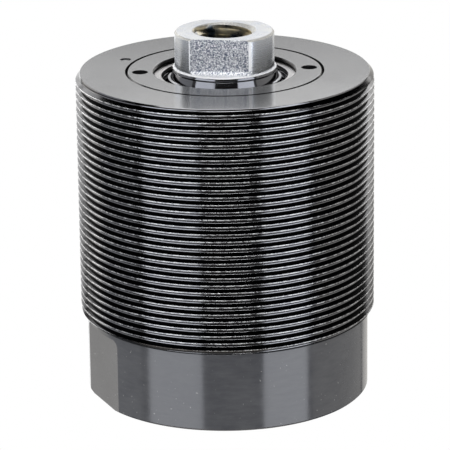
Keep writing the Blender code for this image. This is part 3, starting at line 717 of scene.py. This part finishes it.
def make_barrel():
    """Thread, base, flats, bores and vent drilling in one piece."""
    groove_in, groove_out = seal_r - FACE_SEAL_GROOVE_W / 2, seal_r + FACE_SEAL_GROOVE_W / 2
    guide_bore = half_width(guide_low, guide_high) + GAP

    def trim(radius, z):
        top = FACE_EDGE_R + (body_h - z) * (thread_r - FACE_EDGE_R) / TOP_CHAMFER_H
        end = thread_r - END_CHAMFER_R + (z - thread_end) * END_CHAMFER_R / END_CHAMFER_H
        return min(radius, top, max(end, relief_r))

    inside = [
        (relief_r, thread_end),
        (relief_r, BASE_H),
        (base_r - BASE_TOP_CHAMFER, BASE_H),
        (base_r, BASE_H - BASE_TOP_CHAMFER),
        (base_r, BASE_BOTTOM_CHAMFER),
        (base_r - BASE_BOTTOM_CHAMFER, 0),
        (groove_out, 0),
        (groove_out, FACE_SEAL_GROOVE_DEPTH),
        (groove_in, FACE_SEAL_GROOVE_DEPTH),
        (groove_in, 0),
        (PORT_D / 2, 0),
        (PORT_D / 2, PORT_DEPTH),
        (STEM_BORE_R, PORT_DEPTH),
        (STEM_BORE_R, FLOOR_Z),
        (CHAMBER_R, FLOOR_Z),
        (CHAMBER_R, GUIDE_SEAT_Z),
        (guide_bore, GUIDE_SEAT_Z),
        (guide_bore, cylinder_z),
        (cylinder_r, cylinder_z),
        (cylinder_r, gland_z - GAP),
        (gland_bore_r, gland_z - GAP),
        (gland_bore_r, body_h - EASE),
        (gland_bore_r + EASE, body_h),
    ]

    def build(shape):
        first_crest = body_h - CREST_DROP + PITCH / 4
        helix(shape, outside_outline(), PITCH, first_crest, (thread_end, body_h), trim, ROUND)
        sweep(shape, eased(inside, closed=False), ROUND, closed=False)
        close_level(shape, body_h)
        close_level(shape, thread_end)

    def flats(shape):
        reach = math.sqrt(base_r**2 - flat_r**2)
        top = BASE_H - FLAT_TOP_LAND
        for turn in (FLAT_TURN, FLAT_TURN + math.pi):
            edges = block(shape, (flat_r, -reach, -CUT), (base_r + CUT, reach, top), turn)
            outward = polar(1, turn, 0)
            upper = [edge for edge in edges if all(vert.co.z > top - CUT for vert in edge.verts)]
            corners = [
                edge for edge in upper
                if abs((edge.verts[0].co - edge.verts[1].co).normalized().dot(outward)) > ALONG_COS
            ]
            bmesh.ops.bevel(
                shape, geom=corners, offset=FLAT_CORNER_R, segments=FLAT_CORNER_STEPS, profile=0.5,
                affect="EDGES",
            )

    x, y = gallery_at.x, gallery_at.y

    def gallery(shape):
        rod(shape, GALLERY_D / 2, (x, y, BREATHER_DEPTH - CUT), (x, y, body_h + CUT))

    def breather(shape):
        rod(shape, BREATHER_D / 2, (x, y, -CUT), (x, y, BREATHER_DEPTH))

    piece = link("barrel", mesh_of("barrel", build))
    carve(piece, flats, gallery, breather)

    def is_thread(face):
        return thread_end < face.center.z < body_h and distance(face) > relief_r + THREAD_FOOT

    # The body's bore round the gland takes the painted shade
    def is_joint(face):
        return face.center.z > gland_z and distance(face) < gland_bore_r + EASE

    dress(piece, BLACK, [(THREAD, is_thread), (OILED_PAINTED_SHADE, is_joint)])
    return stand_for(piece, "threaded_body", "housing")


def make_gland_nut():
    """The threaded ring flush with the top face, with two spanner holes and the wiper's pocket."""
    o_ring_low, o_ring_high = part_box("gland_o_ring")
    low, high = o_ring_low.z - GAP, o_ring_high.z + GAP
    inner_floor = running_r + SEAL_SECTION + GAP
    outer_floor = gland_r - SEAL_SECTION - GAP
    pocket_z = body_h - POCKET_DEPTH
    profile = [
        (gland_r - GLAND_CHAMFER, body_h),
        (gland_r, body_h - GLAND_CHAMFER),
        (gland_r, high),
        (outer_floor, high),
        (outer_floor, low),
        (gland_r, low),
        (gland_r, gland_z),
        (running_r, gland_z),
        (running_r, low),
        (inner_floor, low),
        (inner_floor, high),
        (running_r, high),
        (running_r, pocket_z),
        (POCKET_R, pocket_z),
        (POCKET_R, snap_low.z - GAP),
        (SNAP_GROOVE_R, snap_low.z - GAP),
        (SNAP_GROOVE_R, snap_high.z + GAP),
        (POCKET_R, snap_high.z + GAP),
        (POCKET_R, body_h - GLAND_EDGE),
        (POCKET_R + GLAND_EDGE, body_h),
    ]
    piece = turned("gland_nut_fine", profile, ROUND)

    def holes(shape):
        for turn in (SPANNER_TURN, SPANNER_TURN + math.pi):
            foot = polar(SPANNER_PCD / 2, turn, body_h - SPANNER_HOLE_DEPTH)
            rod(shape, SPANNER_HOLE_D / 2, foot, polar(SPANNER_PCD / 2, turn, body_h + CUT))

    # The spanner holes and the gland's outer wall take the painted shade
    def is_oiled_painted_shade(face):
        return face.center.z < body_h - EASE / 2 and distance(face) > SPANNER_PCD / 2 - SPANNER_HOLE_D

    carve(piece, holes)
    dress(piece, BLACK, [(OILED_PAINTED_SHADE, is_oiled_painted_shade)])
    stand_for(piece, "gland_nut", "housing")


def make_wiper_parts():
    """Wiper, spacer and snap ring in the gland's pocket."""
    fit_r = half_width(wiper_low, wiper_high)
    flange_top = spacer_low.z - GAP
    shoulder_z = body_h - WIPER_DROP
    tip_r = running_r + WIPER_TIP
    wiper = turned("metal_wiper_fine", [
        (running_r, wiper_high.z),
        (tip_r, wiper_high.z),
        (tip_r + (wiper_high.z - shoulder_z) * math.tan(WIPER_LEAN), shoulder_z),
        (running_r + WIPER_WALL, shoulder_z),
        (running_r + WIPER_WALL, flange_top),
        (fit_r, flange_top),
        (fit_r, wiper_low.z),
        (running_r, wiper_low.z),
    ])
    stand_for(dress(wiper, BURNISHED), "metal_wiper", "housing")

    snap_r = half_width(snap_low, snap_high)
    ring_in = snap_r - SNAP_RING_BITE - RING_SHOWN
    spacer = turned("wiper_spacer_fine", [
        (fit_r, spacer_high.z),
        (fit_r, spacer_low.z),
        (ring_in, spacer_low.z),
        (ring_in, spacer_high.z),
    ])
    stand_for(dress(spacer, BURNISHED), "wiper_spacer", "housing")

    ring = turned("wiper_snap_ring_fine", [
        (snap_r, snap_high.z),
        (snap_r, snap_low.z),
        (ring_in, snap_low.z),
        (ring_in, snap_high.z),
    ], ease=SNAP_RING_EASE)

    def opening(shape):
        low = (ring_in - CUT, -SPLIT / 2, snap_low.z - CUT)
        block(shape, low, (snap_r + CUT, SPLIT / 2, snap_high.z + CUT), SPLIT_TURN)

    carve(ring, opening)
    stand_for(dress(ring, SPRING), "wiper_snap_ring", "housing")


def make_plunger_tube():
    """The ground tube, with its spring bore, socket and ring grooves."""
    stop_low, stop_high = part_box("plunger_stop_ring")
    seat_low, seat_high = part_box("seat_snap_ring")
    stop_floor = plunger_r - STOP_RING_BITE - GAP
    socket_z = head_low.z - GAP
    web_z = socket_z - PLUNGER_WEB
    piece = turned("plunger_tube_fine", [
        (0, socket_z),
        (SOCKET_R, socket_z),
        (SOCKET_R, tube_high.z),
        (plunger_r - TUBE_TOP_EDGE, tube_high.z),
        (plunger_r, tube_high.z - TUBE_TOP_EDGE),
        (plunger_r, stop_high.z + GAP),
        (stop_floor, stop_high.z + GAP),
        (stop_floor, stop_low.z - GAP),
        (plunger_r, stop_low.z - GAP),
        (plunger_r, tube_low.z + TUBE_FOOT_EDGE),
        (plunger_r - TUBE_FOOT_EDGE, tube_low.z),
        (SPRING_BORE_R, tube_low.z),
        (SPRING_BORE_R, seat_low.z - GAP),
        (SEAT_GROOVE_R, seat_low.z - GAP),
        (SEAT_GROOVE_R, seat_high.z + GAP),
        (SPRING_BORE_R, seat_high.z + GAP),
        (SPRING_BORE_R, web_z - SPRING_BORE_R * math.tan(DRILL_POINT)),
        (0, web_z),
    ], closed=False)
    stand_for(dress(piece, GROUND), "plunger_tube", "plunger")


def make_plunger_head():
    """The head: spigot, rim, two rough flats with a fillet below, and the tapped hole."""
    top = head_high.z
    hole_z = top - TAP_DEPTH
    spigot_r = SOCKET_R - GAP
    spigot_z = head_low.z
    outside = [
        (TAP_MOUTH_R, top),
        (plunger_r - HEAD_EDGE, top),
        (plunger_r, top - HEAD_EDGE),
        (plunger_r, collar_z),
        (plunger_r + RIM_OVERHANG, rim_top),
        (plunger_r + RIM_OVERHANG + RIM_H * math.tan(WIPER_LEAN), rim_z),
        (spigot_r, rim_z),
        (spigot_r, spigot_z),
        (0, spigot_z),
    ]

    def trim(radius, z):
        return max(radius, TAP_MOUTH_R - (top - z))

    def build(shape):
        first_crest = hole_z + TAP_CREST_RISE
        helix(shape, inside_outline(), TAP_PITCH, first_crest, (hole_z, top), trim, SMALL_ROUND)
        sweep(shape, eased(outside, closed=False), SMALL_ROUND, closed=False)
        close_level(shape, top)

    piece = link("plunger_head_fine", mesh_of("plunger_head_fine", build))
    shape = bmesh.new()
    shape.from_mesh(piece.data)
    close_level(shape, hole_z)
    bmesh.ops.remove_doubles(shape, verts=shape.verts, dist=MERGE)
    bmesh.ops.recalc_face_normals(shape, faces=shape.faces)
    shape.to_mesh(piece.data)
    shape.free()

    half = HEAD_FLATS / 2
    turns = (HEAD_FLATS_TURN + math.pi / 2, HEAD_FLATS_TURN - math.pi / 2)
    front = polar(1, turns[0], 0)

    def flats(shape):
        for turn in turns:
            low = (half, -plunger_r - CUT, collar_z)
            high = (plunger_r + RIM_OVERHANG + CUT, plunger_r + CUT, top + CUT)
            edges = block(shape, low, high, turn)
            outward = polar(1, turn, 0)
            lower = [edge for edge in edges if all(vert.co.z < collar_z + NEAR for vert in edge.verts)]
            inner = [
                edge for edge in lower if all(vert.co.dot(outward) < half + NEAR for vert in edge.verts)
            ]
            bmesh.ops.bevel(
                shape, geom=inner, offset=HEAD_FILLET, segments=FILLET_STEPS, profile=0.5,
                affect="EDGES",
            )

    def corners(shape):
        corner = math.acos(half / plunger_r)
        for turn in turns:
            for lean, depth in HEAD_CORNERS:
                reach = plunger_r * math.cos(corner - abs(lean)) - depth
                low = (reach, -half / 2, collar_z + HEAD_FILLET / 2)
                block(shape, low, (plunger_r + CUT, half / 2, top + CUT), turn + lean)

    carve(piece, flats, corners)

    def is_flat(face):
        off_plane = abs(abs(face.center.dot(front)) - half)
        return abs(face.normal.dot(front)) > FLAT_COS and off_plane < NEAR / 3

    def is_collar(face):
        low = rim_z < face.center.z < collar_z + HEAD_FILLET
        return low and distance(face) > half and not is_flat(face)

    def is_rim(face):
        return face.center.z < rim_top - EASE and distance(face) > plunger_r

    def is_top(face):
        return face.center.z > top - EASE / 2

    def is_corner(face):
        leans = CORNER_COS[0] < abs(face.normal.dot(front)) < CORNER_COS[1]
        return leans and abs(face.center.dot(front)) > half - NEAR and face.center.z > collar_z

    def is_chamfer(face):
        if distance(face) > TAP_MOUTH_R:
            return face.center.z > top - HEAD_EDGE and CHAMFER_COS[0] < face.normal.z < CHAMFER_COS[1]
        return abs(distance(face) - TAP_MOUTH_R + top - face.center.z) < EASE

    def is_tapped(face):
        return face.center.z > hole_z and distance(face) < TAP_MOUTH_R

    looks = [
        (FORGED_ZINC, is_flat), (MATT_ZINC, is_collar), (MATT_ZINC, is_corner), (BURNISHED, is_rim),
        (FACED_ZINC, is_top), (TAPPED_ZINC, is_tapped), (CHAMFER_ZINC, is_chamfer),
    ]
    dress(piece, ZINC, looks)
    stand_for(piece, "plunger_head", "plunger")


def make_small_parts():
    """Vent plug, filters and the base seal."""
    for node, at, material, slot in (
        ("gallery_plug", gallery_at, BLACK, "black_oxide"),
        ("breather_filter", gallery_at, SINTERED, "sintered_bronze"),
        ("inlet_filter", Vector(), SINTERED, "sintered_bronze"),
    ):
        low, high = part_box(node)
        radius = half_width(low, high)
        profile = [(0, high.z), (radius, high.z), (radius, low.z), (0, low.z)]
        piece = turned(node + "_fine", profile, DISC_ROUND, closed=False)
        piece.data.transform(Matrix.Translation((at.x, at.y, 0)))
        stand_for(dress(piece, material), node, "housing")

    middle_z = (seal_low.z + seal_high.z) / 2
    ring = []
    for i in range(SECTION_ROUND):
        turn = math.tau * i / SECTION_ROUND
        radius = seal_r + seal_section / 2 * math.cos(turn)
        ring.append((radius, middle_z - seal_section / 2 * math.sin(turn)))
    mesh = mesh_of("base_o_ring_fine", lambda shape: sweep(shape, ring, SMALL_ROUND, closed=True))
    seal = link("base_o_ring_fine", mesh)
    stand_for(dress(seal, RUBBER, sharp=SHARP_SECTION), "base_o_ring", "housing")


def make_springs():
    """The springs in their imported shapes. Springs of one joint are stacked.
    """
    for joint in frame["record"]["behaviour"]["joints"]:
        springs = joint.get("deforming_nodes", [])
        for spring in springs:
            node, end = spring["node"], spring["fixed_end_z_m"]
            piece = link(node + "_fine", frame["nodes"][node].data.copy())
            stand_for(dress(piece, SPRING), node, "housing")
            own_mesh(piece)


def dress_inner_nodes():
    """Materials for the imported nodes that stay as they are."""
    looks = {
        GROUND: ("clamp_piston", "taper_sleeve"),
        SPRING: ("seat_snap_ring", "plunger_stop_ring"),
        ZINC: ("guide_stem", "spring_seat_ring"),
        BRONZE: ("collet", "lower_guide_bush"),
        RUBBER: ("gland_o_ring", "plunger_seal", "piston_outer_seal", "piston_inner_seal"),
    }
    for material, names in looks.items():
        for name in names:
            mesh = frame["nodes"][name].data
            mesh.materials.clear()
            mesh.materials.append(material)


# Stage


def glow(name):
    """An even white, for the floor and the backdrop. It only glows, so it stays exactly white."""
    material = bpy.data.materials.new(name)
    material.use_nodes = True
    shader = material.node_tree.nodes["Principled BSDF"]
    shader.inputs["Base Color"].default_value = (0, 0, 0, 1)
    shader.inputs["Roughness"].default_value = 1.0
    shader.inputs["Specular IOR Level"].default_value = 0.0
    shader.inputs["Emission Color"].default_value = (1, 1, 1, 1)
    shader.inputs["Emission Strength"].default_value = 1.0
    return material


def make_stage():
    """A white floor under a white dome. Reflections show the soft boxes instead of them."""

    def floor(shape):
        bmesh.ops.create_circle(shape, cap_ends=True, segments=64, radius=STAGE_R)

    def dome(shape):
        bmesh.ops.create_uvsphere(shape, u_segments=48, v_segments=24, radius=STAGE_R)

    for name, build in (("floor", floor), ("backdrop", dome)):
        piece = link(name, mesh_of(name, build))
        piece.data.materials.append(glow(name + "_white"))
        piece.visible_glossy = False
        piece.visible_shadow = False
        piece.visible_transmission = False
    bpy.data.objects["backdrop"].visible_diffuse = False
    bpy.data.objects["floor"].location.z = -FLOOR_DROP


def soft_box(name, angles, size, radiance, colour=(1, 1, 1), reach=STUDIO_R, aim_z=AIM_Z):
    """A rectangular light, by its azimuth and elevation in degrees, and its width and height.

    Azimuth 0 is the camera's side, and a positive one is to its right.
    """
    turn, rise = (math.radians(angle) for angle in angles)
    width, height = size
    flat = math.cos(rise)
    out = Vector((math.sin(turn) * flat, -math.cos(turn) * flat, math.sin(rise)))
    light = bpy.data.lights.new(name, "AREA")
    light.shape = "RECTANGLE"
    light.size = width
    light.size_y = height
    light.energy = radiance * math.pi * width * height
    light.color = colour
    made = bpy.data.objects.new(name, light)
    made.location = out * reach + Vector((0, 0, aim_z))
    made.rotation_euler = out.to_track_quat("Z", "Y").to_euler()
    made.visible_camera = False
    bpy.context.scene.collection.objects.link(made)


def make_lights():
    """Soft boxes in front, above, beside and behind."""
    cool, warm = (0.95, 0.98, 1.05), (1.03, 1.0, 0.95)
    soft_box("left_box", (-44, -2), (0.764, 1.0), 1.75, cool)
    soft_box("right_box", (47.7, -2), (0.63, 1.0), 1.85, cool)
    soft_box("front_box", (0, 42), (0.5, 0.3), 8.0)
    soft_box("top_box", (0, 67), (1.5, 0.3), 1.8)
    soft_box("left_side_box", (-95, -2), (0.655, 1.0), 0.33, cool)
    soft_box("left_back_box", (-131, -2), (0.52, 1.0), 0.66, warm)
    soft_box("left_rim_box", (-163, -8), (0.36, 0.85), 1.25)
    soft_box("right_side_box", (106, -2), (1.2, 1.0), 0.34, warm)
    soft_box("right_rim_box", (159, -5), (0.44, 0.9), 0.65, warm)
    card = {"reach": CARD_R, "aim_z": body_h + CARD_AIM_RISE}
    soft_box("back_box", (-169, 26.5), (0.36, 0.058), 3.0, **card)
    soft_box("horizon_box", (-169, 12.5), (0.4, 0.032), 1.05, **card)


def make_room():
    """A dim room for reflections: dark above, grey at eye level, with a warm table far below."""
    world = bpy.data.worlds.new("room")
    bpy.context.scene.world = world
    world.use_nodes = True
    tree = Tree(world.node_tree)
    direction = tree.add("ShaderNodeTexCoord").outputs["Generated"]
    height = tree.add("ShaderNodeSeparateXYZ", {0: direction}).outputs["Z"]
    walls = tree.span(height, -0.55, -0.42)
    room = tree.maths("MULTIPLY", walls, tree.span(height, 0.20, 0.45, 0.16, 0.004))
    table = tree.span(height, -0.84, -0.78, 0.30, 0.0)
    background = world.node_tree.nodes["Background"]
    world.node_tree.links.new(tree.maths("ADD", room, table), background.inputs["Strength"])
    colour = tree.blend(tree.span(height, -0.8, -0.6), (1.0, 0.93, 0.84), (1, 1, 1))
    world.node_tree.links.new(colour, background.inputs["Color"])


def make_camera():
    """The photograph's own view."""
    data = bpy.data.cameras.new("camera")
    data.lens = CAMERA_LENS
    data.shift_x, data.shift_y = CAMERA_SHIFT
    data.clip_end = 10
    camera = bpy.data.objects.new("camera", data)
    camera.matrix_world = (
        Matrix.Translation((0, -CAMERA_BACK, body_h + CAMERA_RISE))
        @ Matrix.Rotation(math.pi / 2 - CAMERA_PITCH, 4, "X")
        @ Matrix.Rotation(CAMERA_ROLL, 4, "Z")
    )
    bpy.context.scene.collection.objects.link(camera)
    bpy.context.scene.camera = camera
    bpy.context.scene.view_settings.view_transform = "Standard"


make_barrel()
make_gland_nut()
make_wiper_parts()
make_plunger_tube()
make_plunger_head()
make_small_parts()
make_springs()
dress_inner_nodes()
make_stage()
make_lights()
make_room()
make_camera()
